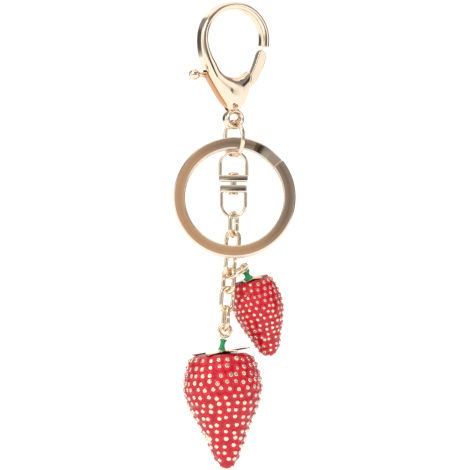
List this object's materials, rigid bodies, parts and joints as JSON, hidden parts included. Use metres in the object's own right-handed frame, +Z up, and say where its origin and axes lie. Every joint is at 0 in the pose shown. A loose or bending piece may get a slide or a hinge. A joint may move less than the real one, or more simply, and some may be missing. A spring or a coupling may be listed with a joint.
{
  "type": "charm keychain",
  "caption": "Trigger clasp and split ring joined by a jump ring, with a swivel and cable chain carrying a large and a small enamelled strawberry charm.",
  "frame": {"origin": "seat at the inside top of the clasp's hook opening, where the strap or bag loop it hangs from bears", "axes": "+Z up, the whole keychain hanging down along -Z; +X to the right and +Y away from the viewer, looking at the split ring's face"},
  "size_m": [0.03, 0.0219, 0.115],
  "materials": {
    "plated_gold": "polished pale gold plating",
    "split_ring_gold": "polished coppery plating",
    "seed_gold": "polished raised beads",
    "enamel_red": "glossy crimson enamel",
    "calyx_red": "polished plating",
    "stem_green": "glossy green enamel",
    "spring_steel": "drawn wire"
  },
  "bodies": {
    "clasp": {"clasp_body": "plated_gold", "clasp_rivet": "plated_gold", "clasp_spring": "spring_steel"},
    "lever": {"clasp_lever": "plated_gold"},
    "jump_ring_body": {"jump_ring": "plated_gold"},
    "split_ring_body": {"split_ring": "split_ring_gold"},
    "swivel_upper": {"swivel_upper_shackle": "plated_gold"},
    "swivel_lower": {"swivel_lower_shackle": "plated_gold", "swivel_rivet": "plated_gold"},
    "link_1": {"chain_link_1": "plated_gold"},
    "link_2": {"chain_link_2": "plated_gold"},
    "link_3": {"chain_link_3": "plated_gold"},
    "link_4": {"chain_link_4": "plated_gold"},
    "link_5": {"chain_link_5": "plated_gold"},
    "link_6": {"chain_link_6": "plated_gold"},
    "large_berry": {"large_berry_eye_pin": "plated_gold", "large_berry_stem": "stem_green", "large_berry_calyx": "plated_gold", "large_berry_casting": "plated_gold", "large_berry_enamel": "enamel_red", "large_berry_seeds": "seed_gold"},
    "drop_ring": {"small_berry_ring": "plated_gold"},
    "small_berry": {"small_berry_eye_pin": "plated_gold", "small_berry_stem": "stem_green", "small_berry_calyx": "calyx_red", "small_berry_casting": "plated_gold", "small_berry_enamel": "enamel_red", "small_berry_seeds": "seed_gold"}
  },
  "joints": [
    {"name": "lever_pivot", "type": "hinge", "parent": "clasp", "child": "lever", "pos_m": [-0.00036, -0.00017, -0.0237], "axis": [0.4226, -0.9063, 0], "range_deg": [0, 18], "stiffness_Nm_per_rad": 0.002, "springref_deg": -28.65, "deforming": ["clasp_spring"]},
    {"name": "jump_ring_swing", "type": "hinge", "parent": "clasp", "child": "jump_ring_body", "pos_m": [0.0002, 0, -0.0287], "axis": [0.9063, 0.4226, 0], "range_deg": [-6, 8]},
    {"name": "split_ring_swing", "type": "hinge", "parent": "jump_ring_body", "child": "split_ring_body", "pos_m": [0.0003, 0, -0.03496], "axis": [-1, 0, 0], "range_deg": [0, 12]},
    {"name": "swivel_swing", "type": "hinge", "parent": "jump_ring_body", "child": "swivel_upper", "pos_m": [0.0002, 0, -0.03582], "axis": [0.515, -0.8572, 0], "range_deg": [0, 10]},
    {"name": "swivel_turn", "type": "hinge", "parent": "swivel_upper", "child": "swivel_lower", "pos_m": [0.00005, 0, -0.0425], "axis": [0, 0, 1], "continuous": true},
    {"name": "link_1_swing", "type": "hinge", "parent": "swivel_lower", "child": "link_1", "pos_m": [0.00005, 0, -0.05042], "axis": [1, 0, 0], "range_deg": [-4, 4]},
    {"name": "link_2_swing", "type": "hinge", "parent": "link_1", "child": "link_2", "pos_m": [0, 0, -0.05502], "axis": [0.4694, 0.8829, -0.0051], "range_deg": [-4, 4]},
    {"name": "link_3_swing", "type": "hinge", "parent": "link_2", "child": "link_3", "pos_m": [-0.0004, 0, -0.05962], "axis": [0.9237, -0.3746, -0.0803], "range_deg": [-6, 6]},
    {"name": "link_4_swing", "type": "hinge", "parent": "link_3", "child": "link_4", "pos_m": [-0.00095, 0, -0.06422], "axis": [0.6382, 0.766, -0.0763], "range_deg": [-6, 6]},
    {"name": "link_5_swing", "type": "hinge", "parent": "link_4", "child": "link_5", "pos_m": [-0.00135, 0, -0.06882], "axis": [0.7632, -0.6428, -0.0664], "range_deg": [-6, 4]},
    {"name": "link_6_swing", "type": "hinge", "parent": "link_5", "child": "link_6", "pos_m": [-0.00175, 0, -0.07342], "axis": [0.8628, 0.5, -0.075], "range_deg": [-6, 6]},
    {"name": "large_berry_swing", "type": "hinge", "parent": "link_6", "child": "large_berry", "pos_m": [-0.002, 0, -0.07812], "axis": [-0.3086, 0.9511, 0.0168], "range_deg": [-8, 7]},
    {"name": "drop_ring_swing", "type": "hinge", "parent": "link_4", "child": "drop_ring", "pos_m": [0.00022, -0.00105, -0.06518], "axis": [-0.0153, 0.0855, 0.9962], "range_deg": [-8, 2]},
    {"name": "small_berry_swing", "type": "hinge", "parent": "drop_ring", "child": "small_berry", "pos_m": [0.00262, 0.00176, -0.06322], "axis": [-0.6278, 0.7598, -0.1691], "range_deg": [-6, 3]}
  ]
}
